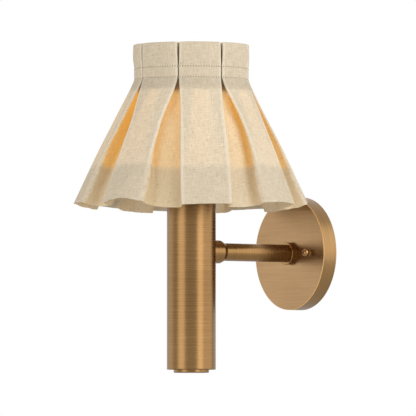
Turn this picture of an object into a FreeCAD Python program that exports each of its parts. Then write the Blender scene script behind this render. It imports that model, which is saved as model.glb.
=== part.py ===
import FreeCAD, Part
import math
import os

import Sketcher

# Fabric shade wall light: a round wall plate carries a short arm, the arm carries an upright
# column, and a box-pleated canvas shade stands on the lamp holder at the column's top.
#
# Frame: +Z up. The wall is the plane y = 0 and the light stands on its -Y side. The origin is
# the centre of the wall plate's rim on the wall, and the arm's axis runs out along -Y at z = 0.
# "Reach" is the distance from the wall. All sizes are in millimetres.

V = FreeCAD.Vector
doc = FreeCAD.newDocument("fabric_shade_wall_light")

# ---------------------------------------------------------------- driving dimensions

SIZES = {
    # wall plate and what holds it
    "plate_radius": 59.2,
    "plate_depth": 16.5,
    "plate_sheet": 1.5,
    "plate_bevel": 0.5,
    "disc_radius": 50.0,
    "disc_thick": 1.6,
    "disc_wire_hole": 11.0,
    "slot_spacing": 79.4,
    "slot_length": 14.2,
    "slot_width": 4.8,
    "stud_spacing": 69.85,
    "stud_radius": 2.0,
    "stud_past_plate": 5.6,
    "stud_nut_flats": 7.0,
    "stud_nut_height": 3.2,
    "finial_ball": 4.3,
    "finial_neck": 2.9,
    "finial_foot": 3.5,
    "finial_height": 9.2,
    "finial_foot_height": 1.2,
    "finial_foot_bevel": 0.6,
    "earth_place": 24.0,
    "earth_radius": 2.0,
    "earth_head": 4.0,
    "earth_head_height": 2.4,
    # arm
    "rod_radius": 4.8,
    "rod_bore": 3.2,
    "rod_proud": 1.5,
    "nut_flats": 14.0,
    "nut_height": 4.0,
    "washer_radius": 9.0,
    "washer_thick": 1.0,
    "arm_radius": 9.25,
    "arm_wall": 1.2,
    "collar_radius": 12.0,
    "collar_step": 0.5,
    "collar_lip": 1.3,
    "wall_collar_length": 5.2,
    "column_collar_length": 14.7,
    "column_collar_taper": 4.7,
    "collar_floor": 1.2,
    "collar_seat": 9.0,
    # column
    "column_reach": 144.25,
    "column_radius": 25.4,
    "column_wall": 1.5,
    "column_top": 56.0,
    "column_bottom": 122.5,
    "saddle_place": 3.1,
    "stub_radius": 18.35,
    "stub_height": 3.3,
    "stub_bevel": 0.8,
    "cap_plug": 6.0,
    "cap_sheet": 2.0,
    "cap_recess": 0.4,
    # lamp holder
    "nipple_below": 9.0,
    "holder_foot": 17.0,
    "holder_radius": 22.5,
    "holder_height": 22.0,
    "holder_floor": 3.0,
    "holder_ledge": 1.5,
    "insert_height": 3.5,
    "skirt_radius": 19.6,
    "skirt_wall": 3.2,
    "skirt_length": 25.0,
    "skirt_seat": 4.0,
    "shell_radius": 13.4,
    "shell_sheet": 0.4,
    "shell_length": 23.0,
    "terminal_place": 5.0,
    "terminal_radius": 2.0,
    "terminal_height": 2.2,
    "tongue_height": 1.6,
    "tongue_radius": 3.2,
    # lamp
    "lamp_length": 109.0,
    "lamp_globe": 30.0,
    "lamp_glass": 1.2,
    "lamp_thread": 13.1,
    "lamp_thread_root": 12.4,
    "lamp_thread_pitch": 3.63,
    "lamp_thread_crest": 0.36,
    "lamp_thread_turns": 5,
    "lamp_base_height": 24.0,
    "lamp_base_sheet": 0.5,
    "lamp_neck": 13.6,
    "lamp_split": 57.0,
    "lamp_contact": 4.6,
    "lamp_contact_height": 1.6,
    "lamp_insulator_rim": 1.0,
    "lamp_insulator_height": 3.0,
    "board_thick": 1.6,
    # leads
    "lead_radius": 1.05,
    "lead_apart": 1.3,
    "lead_bend": 11.0,
    "lead_end": 3.0,
    # shade frame
    "fitter_thick": 1.6,
    "fitter_width": 5.5,
    "ring_height": 8.0,
    "ring_radius": 27.0,
    "ring_bevel": 0.8,
    "wire_radius": 1.25,
    "lower_ring_z": 66.0,
    "upper_ring_radius": 54.8,
    "spoke_count": 3,
    "spoke_start": 24.2,
    "rib_count": 4,
    "rib_turn": 8.0,
    "grip_count": 16,
    "grip_radius": 2.0,
    "grip_depth": 0.9,
    # canvas shade
    "pleat_count": 8,
    "pleat_turn": -27.1,   # degrees from +X to the middle of the first pleat
    "shade_top": 213.0,
    "header_radius": 59.3,
    "header_waist": 58.7,
    "header_bore": 52.3,
    "gap_width": 3.0,
    "gap_floor": 1.4,
    "gap_depth": 1.6,
    "waist_gap_depth": 0.5,
    "upper_stitch": 191.6,
    "lower_stitch": 180.2,
    "facing_end": 167.5,
    "hem_z": 44.0,
    "hem_fold_radius": 113.0,
    "hem_panel_radius": 116.5,
    "hem_recess_radius": 94.0,
    "hem_panel_width": 50.0,
    "hem_recess_width": 30.0,
    "canvas_wall": 1.8,
    # clearances
    "slide_gap": 0.05,
    "pass_gap": 0.35,
    "seat_gap": 0.05,
    "cloth_gap": 0.3,
}

sheet = doc.addObject("Spreadsheet::Sheet", "sizes")
for row, (alias, value) in enumerate(SIZES.items(), start=1):
    sheet.set(f"A{row}", alias.replace("_", " "))
    sheet.set(f"B{row}", str(value))
    sheet.setAlias(f"B{row}", alias)
doc.recompute()


def size(alias):
    """A driving dimension's number, read back from the sheet."""
    return float(sheet.get(alias))


# Places worked out from the driving dimensions, written as formulas on the sheet's cells.
PLATE_FACE = "sizes.plate_depth"
PLATE_INSIDE = "(sizes.plate_depth - sizes.plate_sheet)"
ROD_HOLE = "(sizes.rod_radius + sizes.slide_gap)"
ARM_SEAT = "(sizes.arm_radius + sizes.slide_gap)"
PLATE_WASHER = f"({PLATE_INSIDE} - sizes.washer_thick)"
PLATE_NUT = f"({PLATE_WASHER} - sizes.nut_height)"
ROD_START = f"({PLATE_NUT} - sizes.rod_proud)"
COLUMN_FACE = "(sizes.column_reach - sizes.column_radius)"
COLUMN_BORE = "(sizes.column_radius - sizes.column_wall)"
SADDLE_FACE = f"(sizes.column_reach - {COLUMN_BORE} + sizes.saddle_place)"
ROD_END = f"({SADDLE_FACE} + sizes.nut_height + 2 * sizes.rod_proud)"
ARM_START = f"({PLATE_FACE} + sizes.collar_floor)"
COLLAR_START = f"({COLUMN_FACE} - sizes.column_collar_length)"
ARM_END = f"({COLLAR_START} + sizes.collar_seat)"
CAP_TOP = "(sizes.column_top + sizes.cap_sheet)"
CAP_UNDER = "(sizes.column_top - sizes.cap_sheet)"
HOLDER_SHOULDER = f"({CAP_TOP} + sizes.holder_height)"
SKIRT_START = f"({HOLDER_SHOULDER} - sizes.skirt_seat)"
INSERT_START = f"({SKIRT_START} - sizes.insert_height)"
LAMP_TIP = f"({SKIRT_START} + sizes.tongue_height + sizes.seat_gap)"
FITTER_TOP = f"({HOLDER_SHOULDER} + sizes.seat_gap + sizes.fitter_thick)"

# ---------------------------------------------------------------- making tools

NODES = []
UPRIGHT = FreeCAD.Rotation()
OUTWARD = FreeCAD.Rotation(V(1, 0, 0), 90)   # a piece's own +Z points out of the wall, along -Y
COLUMN_AXIS = {"y": "-sizes.column_reach"}


def place(piece, turn=UPRIGHT, **where):
    """Turn a piece and bind its place to formulas, x, y and z in the light's frame."""
    piece.Placement = FreeCAD.Placement(V(), turn)
    for axis, formula in where.items():
        piece.setExpression(f"Placement.Base.{axis}", formula)
    return piece


def node(name, piece):
    """Name a finished piece: its label is the name of its file."""
    piece.Label = name
    NODES.append(piece)
    return piece


def turned(name, outline, turn=UPRIGHT, **where):
    """Body turned about its own Z from an outline of (radius, height) formulas."""
    body = doc.addObject("PartDesign::Body", name)
    sketch = body.newObject("Sketcher::SketchObject", f"{name}_outline")
    plane = next(item for item in body.Origin.OriginFeatures if item.Role == "XZ_Plane")
    sketch.AttachmentSupport = [(plane, "")]
    sketch.MapMode = "FlatFace"
    count = len(outline)
    start = [V(10 + math.cos(math.tau * i / count), math.sin(math.tau * i / count), 0)
             for i in range(count)]
    for i in range(count):
        sketch.addGeometry(Part.LineSegment(start[i], start[(i + 1) % count]), False)
    for i in range(count):
        sketch.addConstraint(Sketcher.Constraint("Coincident", i, 2, (i + 1) % count, 1))
    for i, (radius, height) in enumerate(outline):
        for kind, formula in (("DistanceX", radius), ("DistanceY", height)):
            index = sketch.addConstraint(Sketcher.Constraint(kind, -1, 1, i, 1, 1.0))
            sketch.renameConstraint(index, f"{kind}_{i}")
            sketch.setExpression(f"Constraints.{kind}_{i}", formula)
    solid = body.newObject("PartDesign::Revolution", f"{name}_turned")
    solid.Profile = sketch
    solid.ReferenceAxis = (sketch, ["V_Axis"])
    solid.Angle = 360
    body.Tip = solid
    return place(body, turn, **where)


def cylinder(name, radius, height, turn=UPRIGHT, **where):
    piece = doc.addObject("Part::Cylinder", name)
    piece.setExpression("Radius", radius)
    piece.setExpression("Height", height)
    return place(piece, turn, **where)


def hexagon(name, flats, height, turn=UPRIGHT, **where):
    """Six-sided prism, its size given across the flats."""
    piece = doc.addObject("Part::Prism", name)
    piece.Polygon = 6
    piece.setExpression("Circumradius", f"{flats} / sqrt(3)")
    piece.setExpression("Height", height)
    return place(piece, turn, **where)


def fused(name, pieces):
    joined = doc.addObject("Part::MultiFuse", name)
    joined.Shapes = pieces
    return joined


def cut(name, base, tools):
    """Base less its tools."""
    piece = doc.addObject("Part::Cut", name)
    piece.Base = base
    piece.Tool = tools[0] if len(tools) == 1 else fused(f"{name}_tools", tools)
    return piece


def common(name, base, tool):
    piece = doc.addObject("Part::Common", name)
    piece.Base = base
    piece.Tool = tool
    return piece


def group(name, pieces):
    """Several equal solids under one name."""
    together = doc.addObject("Part::Compound", name)
    together.Links = pieces
    return together


def nut(name, flats, height, hole, turn=UPRIGHT, **where):
    """Hexagon nut on a rod of the hole's radius."""
    blank = hexagon(f"{name}_blank", flats, height, turn, **where)
    bore = cylinder(f"{name}_bore", hole, height, turn, **where)
    return cut(name, blank, [bore])


# ---------------------------------------------------------------- wall plate and its fixing

STUD_SIDES = {"left": "-sizes.stud_spacing / 2", "right": "sizes.stud_spacing / 2"}


def mounting_disc():
    """Steel disc screwed to the wall box: two upright slots, two stud threads, a wire hole."""
    blank = cylinder("disc_blank", "sizes.disc_radius", "sizes.disc_thick", OUTWARD)
    holes = [cylinder("disc_wires", "sizes.disc_wire_hole", "sizes.disc_thick", OUTWARD)]
    for side, place_x in STUD_SIDES.items():
        radius = "sizes.stud_radius + sizes.slide_gap"
        holes.append(cylinder(f"disc_stud_{side}", radius, "sizes.disc_thick", OUTWARD,
                              x=place_x))
    radius = "sizes.earth_radius + sizes.slide_gap"
    holes.append(cylinder("disc_earth", radius, "sizes.disc_thick", OUTWARD,
                          x="-sizes.earth_place", z="-sizes.earth_place"))
    for sign, end in (("", "upper"), ("-", "lower")):
        half_run = "(sizes.slot_length - sizes.slot_width) / 2"
        middle = doc.addObject("Part::Box", f"disc_slot_{end}")
        middle.setExpression("Length", "sizes.slot_width")
        middle.setExpression("Width", f"2 * {half_run}")
        middle.setExpression("Height", "sizes.disc_thick")
        place(middle, OUTWARD, x="-sizes.slot_width / 2",
              z=f"{sign}sizes.slot_spacing / 2 - {half_run}")
        ends = [cylinder(f"disc_slot_{end}_{tip}", "sizes.slot_width / 2", "sizes.disc_thick",
                         OUTWARD, z=f"{sign}sizes.slot_spacing / 2 {shift} {half_run}")
                for tip, shift in (("a", "-"), ("b", "+"))]
        holes += [middle] + ends
    node("mounting_disc", cut("disc", blank, holes))


def earth_screw():
    head = "sizes.disc_thick + sizes.earth_head_height"
    outline = [("0", "0"), ("sizes.earth_radius", "0"),
               ("sizes.earth_radius", "sizes.disc_thick"),
               ("sizes.earth_head", "sizes.disc_thick"),
               ("sizes.earth_head", f"{head} - sizes.plate_bevel"),
               ("sizes.earth_head - sizes.plate_bevel", head), ("0", head)]
    node("earth_screw", turned("earth", outline, OUTWARD,
                               x="-sizes.earth_place", z="-sizes.earth_place"))


def studs_and_nuts():
    length = f"{PLATE_FACE} + sizes.stud_past_plate"
    studs = [cylinder(f"stud_{side}", "sizes.stud_radius", length, OUTWARD, x=place_x)
             for side, place_x in STUD_SIDES.items()]
    node("plate_studs", group("studs", studs))
    nuts = [nut(f"stud_nut_{side}", "sizes.stud_nut_flats", "sizes.stud_nut_height",
                "(sizes.stud_radius + sizes.slide_gap)", OUTWARD,
                x=place_x, y="-sizes.disc_thick")
            for side, place_x in STUD_SIDES.items()]
    node("stud_nuts", group("nuts", nuts))


def wall_plate():
    """Shallow spun dish, open towards the wall, with a thin bevel round its face."""
    outline = [("sizes.plate_radius", "0"),
               ("sizes.plate_radius", f"{PLATE_FACE} - sizes.plate_bevel"),
               ("sizes.plate_radius - sizes.plate_bevel", PLATE_FACE),
               (ROD_HOLE, PLATE_FACE), (ROD_HOLE, PLATE_INSIDE),
               ("sizes.plate_radius - sizes.plate_sheet", PLATE_INSIDE),
               ("sizes.plate_radius - sizes.plate_sheet", "0")]
    dish = turned("dish", outline, OUTWARD)
    holes = [cylinder(f"dish_stud_{side}", "sizes.stud_radius + sizes.pass_gap",
                      f"2 * {PLATE_FACE}", OUTWARD, x=place_x)
             for side, place_x in STUD_SIDES.items()]
    node("wall_plate", cut("plate", dish, holes))


def finial(side):
    """Ball nut that screws on its stud and holds the plate: foot, neck and ball, blind bore."""
    base = f"({PLATE_FACE} + sizes.seat_gap)"
    ball_centre = f"({base} + sizes.finial_height - sizes.finial_ball)"
    foot_top = f"({base} + sizes.finial_foot_height)"
    bore = "(sizes.stud_radius + sizes.slide_gap)"
    foot = [(bore, base), ("sizes.finial_foot", base), ("sizes.finial_foot", foot_top),
            ("sizes.finial_neck", f"{foot_top} + sizes.finial_foot_bevel"),
            ("sizes.finial_neck", ball_centre), (bore, ball_centre)]
    stem = turned(f"finial_{side}_stem", foot, OUTWARD, x=STUD_SIDES[side])
    ball = doc.addObject("Part::Sphere", f"finial_{side}_ball")
    ball.setExpression("Radius", "sizes.finial_ball")
    place(ball, OUTWARD, x=STUD_SIDES[side], y=f"-{ball_centre}")
    hole = cylinder(f"finial_{side}_bore", bore,
                    f"{PLATE_FACE} + sizes.stud_past_plate + sizes.pass_gap", OUTWARD,
                    x=STUD_SIDES[side])
    whole = fused(f"finial_{side}_whole", [stem, ball])
    node(f"finial_{side}", cut(f"finial_{side}_cut", whole, [hole]))


mounting_disc()
earth_screw()
studs_and_nuts()
wall_plate()
finial("left")
finial("right")


# ---------------------------------------------------------------- arm

def arm_rod():
    """Hollow threaded rod that clamps plate, arm and column together; the leads run in it."""
    outline = [("sizes.rod_bore", ROD_START), ("sizes.rod_radius", ROD_START),
               ("sizes.rod_radius", ROD_END), ("sizes.rod_bore", ROD_END)]
    node("arm_rod", turned("rod", outline, OUTWARD))


def plate_nut_and_washer():
    outline = [(ROD_HOLE, PLATE_WASHER), ("sizes.washer_radius", PLATE_WASHER),
               ("sizes.washer_radius", PLATE_INSIDE), (ROD_HOLE, PLATE_INSIDE)]
    node("plate_washer", turned("washer", outline, OUTWARD))
    node("plate_nut", nut("plate_nut_cut", "sizes.nut_flats", "sizes.nut_height", ROD_HOLE,
                          OUTWARD, y=f"-{PLATE_NUT}"))


def wall_collar():
    """Turned collar on the plate: a barrel, a raised front lip and a seat for the tube."""
    end = f"({PLATE_FACE} + sizes.wall_collar_length)"
    barrel = "(sizes.collar_radius - sizes.collar_step)"
    outline = [(ROD_HOLE, PLATE_FACE), (barrel, PLATE_FACE),
               (barrel, f"{end} - sizes.collar_lip"),
               ("sizes.collar_radius", f"{end} - sizes.collar_lip"),
               ("sizes.collar_radius", f"{end} - sizes.collar_step"),
               (barrel, end), (ARM_SEAT, end), (ARM_SEAT, ARM_START), (ROD_HOLE, ARM_START)]
    node("wall_collar", turned("wall_collar_turned", outline, OUTWARD))


def arm_tube():
    inside = "sizes.arm_radius - sizes.arm_wall"
    outline = [(inside, ARM_START), ("sizes.arm_radius", ARM_START),
               ("sizes.arm_radius", ARM_END), (inside, ARM_END)]
    node("arm_tube", turned("arm", outline, OUTWARD))


def column_collar():
    """Collar that tapers on to the tube and is hollowed at its far end to sit on the column."""
    past = f"({COLUMN_FACE} + sizes.collar_radius / 2)"
    rim = f"({ARM_SEAT} + sizes.collar_step)"
    outline = [(ARM_SEAT, COLLAR_START), (rim, COLLAR_START),
               ("sizes.collar_radius", f"{COLLAR_START} + sizes.column_collar_taper"),
               ("sizes.collar_radius", past), (ROD_HOLE, past), (ROD_HOLE, ARM_END),
               (ARM_SEAT, ARM_END)]
    blank = turned("column_collar_blank", outline, OUTWARD)
    saddle = cylinder("column_collar_saddle", "sizes.column_radius",
                      "4 * sizes.collar_radius", y="-sizes.column_reach",
                      z="-2 * sizes.collar_radius")
    node("column_collar", cut("column_collar_cut", blank, [saddle]))


# ---------------------------------------------------------------- column

def column_tube():
    bottom = "-sizes.column_bottom"
    outline = [(COLUMN_BORE, bottom), ("sizes.column_radius - sizes.plate_bevel", bottom),
               ("sizes.column_radius", f"{bottom} + sizes.plate_bevel"),
               ("sizes.column_radius", "sizes.column_top"), (COLUMN_BORE, "sizes.column_top")]
    tube = turned("column_blank", outline, **COLUMN_AXIS)
    hole = cylinder("column_rod_hole", ROD_HOLE, "sizes.column_radius", OUTWARD,
                    y="-(sizes.column_reach - sizes.column_radius - sizes.column_wall)")
    node("column_tube", cut("column", tube, [hole]))


def column_nut_and_saddle():
    """Washer shaped to the column's bore, and the nut that draws the arm on to it."""
    outer = f"(sizes.column_reach - {COLUMN_BORE} - sizes.washer_thick)"
    outline = [(ROD_HOLE, outer), ("sizes.washer_radius", outer),
               ("sizes.washer_radius", SADDLE_FACE), (ROD_HOLE, SADDLE_FACE)]
    blank = turned("saddle_blank", outline, OUTWARD)
    bore = cylinder("saddle_bore", COLUMN_BORE, "4 * sizes.washer_radius",
                    y="-sizes.column_reach", z="-2 * sizes.washer_radius")
    node("saddle_washer", common("saddle", blank, bore))
    node("column_nut", nut("column_nut_cut", "sizes.nut_flats", "sizes.nut_height", ROD_HOLE,
                           OUTWARD, y=f"-{SADDLE_FACE}"))


def bottom_cap():
    """Plug pressed into the column's foot, with a smaller stub that stands out below it."""
    bottom = "(-sizes.column_bottom)"
    stub = f"({bottom} - sizes.stub_height)"
    cup = f"({COLUMN_BORE} - sizes.cap_sheet)"
    outline = [("0", stub), ("sizes.stub_radius - sizes.stub_bevel", stub),
               ("sizes.stub_radius", f"{stub} + sizes.stub_bevel"),
               ("sizes.stub_radius", f"{bottom} + sizes.cap_recess"),
               (COLUMN_BORE, f"{bottom} + sizes.cap_recess"),
               (COLUMN_BORE, f"{bottom} + sizes.cap_plug"),
               (cup, f"{bottom} + sizes.cap_plug"),
               (cup, f"{bottom} + sizes.cap_recess + sizes.cap_sheet"),
               ("0", f"{bottom} + sizes.cap_recess + sizes.cap_sheet")]
    node("bottom_cap", turned("bottom_cap_turned", outline, **COLUMN_AXIS))


def top_cap():
    """Lid with a spigot in the column; the holder's nipple passes through its middle."""
    cup = f"({COLUMN_BORE} - sizes.cap_sheet)"
    foot = "sizes.column_top - sizes.cap_plug"
    outline = [(ROD_HOLE, CAP_UNDER), (cup, CAP_UNDER), (cup, foot), (COLUMN_BORE, foot),
               (COLUMN_BORE, "sizes.column_top"), ("sizes.column_radius", "sizes.column_top"),
               ("sizes.column_radius", f"{CAP_TOP} - sizes.plate_bevel"),
               ("sizes.column_radius - sizes.plate_bevel", CAP_TOP), (ROD_HOLE, CAP_TOP)]
    node("top_cap", turned("top_cap_turned", outline, **COLUMN_AXIS))


# ---------------------------------------------------------------- lamp holder

def holder_nipple_and_nut():
    start = f"({CAP_UNDER} - sizes.nipple_below)"
    end = f"({CAP_TOP} + sizes.holder_floor + sizes.rod_proud)"
    outline = [("sizes.rod_bore", start), ("sizes.rod_radius", start),
               ("sizes.rod_radius", end), ("sizes.rod_bore", end)]
    node("holder_nipple", turned("nipple", outline, **COLUMN_AXIS))
    node("holder_nut", nut("holder_nut_cut", "sizes.nut_flats", "sizes.nut_height", ROD_HOLE,
                           y="-sizes.column_reach", z=f"{CAP_UNDER} - sizes.nut_height"))


def holder_base():
    """Moulded cup that holds the terminals; the shade's ring rests on its shoulder."""
    inside = "(sizes.skirt_radius + sizes.slide_gap)"
    ledge = f"({inside} - sizes.holder_ledge)"
    floor = f"({CAP_TOP} + sizes.holder_floor)"
    outline = [(ROD_HOLE, CAP_TOP), ("sizes.holder_foot", CAP_TOP),
               ("sizes.holder_radius", f"{CAP_TOP} + sizes.holder_radius - sizes.holder_foot"),
               ("sizes.holder_radius", HOLDER_SHOULDER), (inside, HOLDER_SHOULDER),
               (inside, INSERT_START), (ledge, INSERT_START), (ledge, floor),
               (ROD_HOLE, floor)]
    node("holder_base", turned("holder_base_turned", outline, **COLUMN_AXIS))


def holder_skirt():
    """Sleeve over the lamp's screw shell, with ridges for the ring that clamps the shade."""
    inside = "(sizes.skirt_radius - sizes.skirt_wall)"
    top = f"({SKIRT_START} + sizes.skirt_length)"
    outline = [(inside, SKIRT_START), ("sizes.skirt_radius", SKIRT_START),
               ("sizes.skirt_radius", f"{top} - sizes.ring_bevel"),
               ("sizes.skirt_radius - sizes.ring_bevel", top), (inside, top)]
    node("holder_skirt", turned("holder_skirt_turned", outline, **COLUMN_AXIS))


def holder_insert():
    outline = [("0", INSERT_START), ("sizes.skirt_radius", INSERT_START),
               ("sizes.skirt_radius", SKIRT_START), ("0", SKIRT_START)]
    node("holder_insert", turned("holder_insert_turned", outline, **COLUMN_AXIS))


def screw_shell():
    outer = "sizes.shell_radius + sizes.shell_sheet"
    top = f"{SKIRT_START} + sizes.shell_length"
    outline = [("sizes.shell_radius", SKIRT_START), (outer, SKIRT_START), (outer, top),
               ("sizes.shell_radius", top)]
    node("screw_shell", turned("screw_shell_turned", outline, **COLUMN_AXIS))


def centre_contact():
    node("centre_contact", cylinder("tongue", "sizes.tongue_radius", "sizes.tongue_height",
                                    z=SKIRT_START, **COLUMN_AXIS))


def terminal_screws():
    screws = [cylinder(f"terminal_{side}", "sizes.terminal_radius", "sizes.terminal_height",
                       x=f"{sign}sizes.terminal_place", y="-sizes.column_reach",
                       z=f"{INSERT_START} - sizes.terminal_height")
              for side, sign in (("left", "-"), ("right", ""))]
    node("terminal_screws", group("terminals", screws))


arm_rod()
plate_nut_and_washer()
wall_collar()
arm_tube()
column_collar()
column_tube()
column_nut_and_saddle()
bottom_cap()
top_cap()
holder_nipple_and_nut()
holder_base()
holder_skirt()
holder_insert()
screw_shell()
centre_contact()
terminal_screws()


# ---------------------------------------------------------------- lamp

def lamp_contact():
    bevel = "sizes.lamp_contact_height / 2"
    outline = [("0", LAMP_TIP), (f"sizes.lamp_contact - {bevel}", LAMP_TIP),
               ("sizes.lamp_contact", f"{LAMP_TIP} + {bevel}"),
               ("sizes.lamp_contact", f"{LAMP_TIP} + sizes.lamp_contact_height"),
               ("0", f"{LAMP_TIP} + sizes.lamp_contact_height")]
    node("lamp_contact", turned("lamp_contact_turned", outline, **COLUMN_AXIS))


def lamp_insulator():
    bottom = f"({LAMP_TIP} + sizes.lamp_contact_height)"
    top = f"({bottom} + sizes.lamp_insulator_height)"
    rim = "(sizes.lamp_thread_root - sizes.lamp_base_sheet)"
    outline = [("0", bottom), ("sizes.lamp_contact + sizes.lamp_insulator_rim", bottom), (rim, top), ("0", top)]
    node("lamp_insulator", turned("lamp_insulator_turned", outline, **COLUMN_AXIS))


def lamp_base():
    """Screw base, drawn as its rolled ridges at the thread's pitch."""
    bottom = f"({LAMP_TIP} + sizes.lamp_contact_height + sizes.lamp_insulator_height)"
    top = f"({bottom} + sizes.lamp_base_height - sizes.lamp_insulator_height)"
    inside = "(sizes.lamp_thread_root - sizes.lamp_base_sheet)"
    outline = [(inside, bottom), ("sizes.lamp_thread_root", bottom)]
    crest = "sizes.lamp_thread_pitch / 2 {} sizes.lamp_thread_crest / 2"
    for ridge in range(int(size("lamp_thread_turns"))):
        foot = f"({bottom} + {ridge} * sizes.lamp_thread_pitch)"
        outline += [("sizes.lamp_thread", f"{foot} + {crest.format('-')}"),
                    ("sizes.lamp_thread", f"{foot} + {crest.format('+')}"),
                    ("sizes.lamp_thread_root", f"{foot} + sizes.lamp_thread_pitch")]
    outline += [("sizes.lamp_thread_root", top), (inside, top)]
    node("lamp_base", turned("lamp_base_turned", outline, **COLUMN_AXIS))


def lamp_side(shrink):
    """Points of the lamp's side, (radius, height over its tip): neck, split, touch, centre."""
    globe = size("lamp_globe") - shrink
    neck = size("lamp_neck") - shrink
    centre = size("lamp_length") - size("lamp_globe")
    neck_z = size("lamp_contact_height") + size("lamp_base_height")
    run = centre - neck_z
    far = math.hypot(run, neck)
    lean = math.asin(globe / far) - math.atan2(neck, run)
    side = math.sqrt(far ** 2 - globe ** 2)
    touch = (neck + side * math.sin(lean), neck_z + side * math.cos(lean))
    split_z = size("lamp_split")
    split = (neck + (split_z - neck_z) * math.tan(lean), split_z)
    return (neck, neck_z), split, touch, centre, globe


def lamp_point(point):
    tip = (size("column_top") + size("cap_sheet") + size("holder_height")
           - size("skirt_seat") + size("tongue_height") + size("seat_gap"))
    return V(point[0], 0, point[1] + tip)


def revolved(name, edges):
    """Part turned about the column's axis from a closed outline of edges."""
    face = Part.Face(Part.Wire(Part.__sortEdges__(edges)))
    piece = doc.addObject("Part::Feature", name)
    piece.Shape = face.revolve(V(), V(0, 0, 1), 360)
    return place(piece, **COLUMN_AXIS)


def line(start, end):
    return Part.LineSegment(lamp_point(start), lamp_point(end)).toShape()


def lamp_housing():
    """Moulded cone between the screw base and the diffuser."""
    neck, split = lamp_side(0)[:2]
    inner_neck, inner_split = lamp_side(size("lamp_glass"))[:2]
    edges = [line(neck, split), line(split, inner_split), line(inner_split, inner_neck),
             line(inner_neck, neck)]
    node("lamp_housing", revolved("housing", edges))


def lamp_diffuser():
    """Opal globe that stands on the housing."""
    arcs = []
    corners = []
    for shrink in (0, size("lamp_glass")):
        neck, split, touch, centre, globe = lamp_side(shrink)
        start = math.atan2(touch[1] - centre, touch[0])
        half = (start + math.pi / 2) / 2
        middle = (globe * math.cos(half), centre + globe * math.sin(half))
        top = (0, centre + globe)
        arcs += [Part.Arc(lamp_point(touch), lamp_point(middle), lamp_point(top)).toShape(),
                 line(split, touch)]
        corners.append((split, top))
    (split, top), (inner_split, inner_top) = corners
    edges = arcs + [line(split, inner_split), line(top, inner_top)]
    node("lamp_diffuser", revolved("diffuser", edges))


def lamp_board():
    """Round board that carries the light-emitting chips, just inside the housing's rim."""
    radius = lamp_side(size("lamp_glass"))[1][0] - size("board_thick")
    board = doc.addObject("Part::Cylinder", "board")
    board.Radius = radius
    board.setExpression("Height", "sizes.board_thick")
    place(board, z=f"{LAMP_TIP} + sizes.lamp_split - sizes.board_thick", **COLUMN_AXIS)
    node("lamp_board", board)


lamp_contact()
lamp_insulator()
lamp_base()
lamp_housing()
lamp_diffuser()
lamp_board()


# ---------------------------------------------------------------- leads

def lead(name, side):
    """Lead held all the way: terminal, nipple, column, and the arm's rod to the wall plate."""
    depth = -size("column_reach")
    cap_top = size("column_top") + size("cap_sheet")
    insert = cap_top + size("holder_height") - size("skirt_seat") - size("insert_height")
    apart = side * size("lead_apart")
    points = [V(side * size("terminal_place"), depth,
                insert - size("terminal_height") - size("pass_gap")),
              V(apart, depth, cap_top + size("holder_floor") + size("rod_proud")),
              V(apart, depth, 0),
              V(apart, -size("lead_end"), 0)]
    edges = []
    start = points[0]
    for before, corner, after in zip(points, points[1:], points[2:]):
        back = (before - corner).normalize()
        ahead = (after - corner).normalize()
        half = back.getAngle(ahead) / 2
        tangent = size("lead_bend") / math.tan(half)
        to_centre = (back + ahead).normalize()
        middle = corner + to_centre * (size("lead_bend") * (1 / math.sin(half) - 1))
        edges.append(Part.LineSegment(start, corner + back * tangent).toShape())
        edges.append(Part.Arc(corner + back * tangent, middle,
                              corner + ahead * tangent).toShape())
        start = corner + ahead * tangent
    edges.append(Part.LineSegment(start, points[-1]).toShape())
    path = Part.Wire(edges)
    section = Part.Circle(points[0], points[1] - points[0], size("lead_radius"))
    tube = path.makePipeShell([Part.Wire(section.toShape())], True, False)
    expected = math.pi * size("lead_radius") ** 2 * path.Length
    print(f"{name}: length {path.Length:.1f} mm, bend radius {size('lead_bend')} mm,"
          f" volume share {tube.Volume / expected:.4f}")
    piece = doc.addObject("Part::Feature", f"{name}_tube")
    piece.Shape = tube
    node(name, piece)


lead("live_lead", 1)
lead("neutral_lead", -1)


# ---------------------------------------------------------------- shade frame

def pleat_station(z):
    """Pleat sizes at a height: fold, panel and recess radii, panel and recess widths."""
    gap = 2 * math.pi / size("pleat_count")
    header = size("header_radius")
    waist = size("header_waist")
    stations = [
        (size("shade_top"), header, header, header - size("gap_depth"),
         2 * header * math.sin(gap / 2) - size("gap_width"), size("gap_floor")),
        (size("upper_stitch"), waist, waist, waist - size("waist_gap_depth"),
         2 * waist * math.sin(gap / 2) - size("gap_width"), size("gap_floor")),
        (size("lower_stitch"), waist, waist, waist - size("waist_gap_depth"),
         2 * waist * math.sin(gap / 2) - size("gap_width"), size("gap_floor")),
        (size("hem_z"), size("hem_fold_radius"), size("hem_panel_radius"),
         size("hem_recess_radius"), size("hem_panel_width"), size("hem_recess_width"))]
    for upper, lower in zip(stations, stations[1:]):
        if z >= lower[0]:
            break
    share = (upper[0] - z) / (upper[0] - lower[0])
    return [a + (b - a) * share for a, b in zip(upper[1:], lower[1:])]


def lower_ring_radius():
    recess = pleat_station(size("lower_ring_z"))[2]
    return recess - size("canvas_wall") - size("cloth_gap") - size("wire_radius")


def upper_ring_z():
    return (size("upper_stitch") + size("lower_stitch")) / 2


def around(radius, degrees, z):
    """Point about the column's axis; degrees run from the direction of +X."""
    turn = math.radians(degrees)
    return V(radius * math.cos(turn), radius * math.sin(turn) - size("column_reach"), z)


def wire(name, start, end, radius):
    """Straight round wire between two points."""
    run = end - start
    piece = doc.addObject("Part::Cylinder", name)
    piece.Radius = radius
    piece.Height = run.Length
    piece.Placement = FreeCAD.Placement(start, FreeCAD.Rotation(V(0, 0, 1), run))
    return piece


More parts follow.
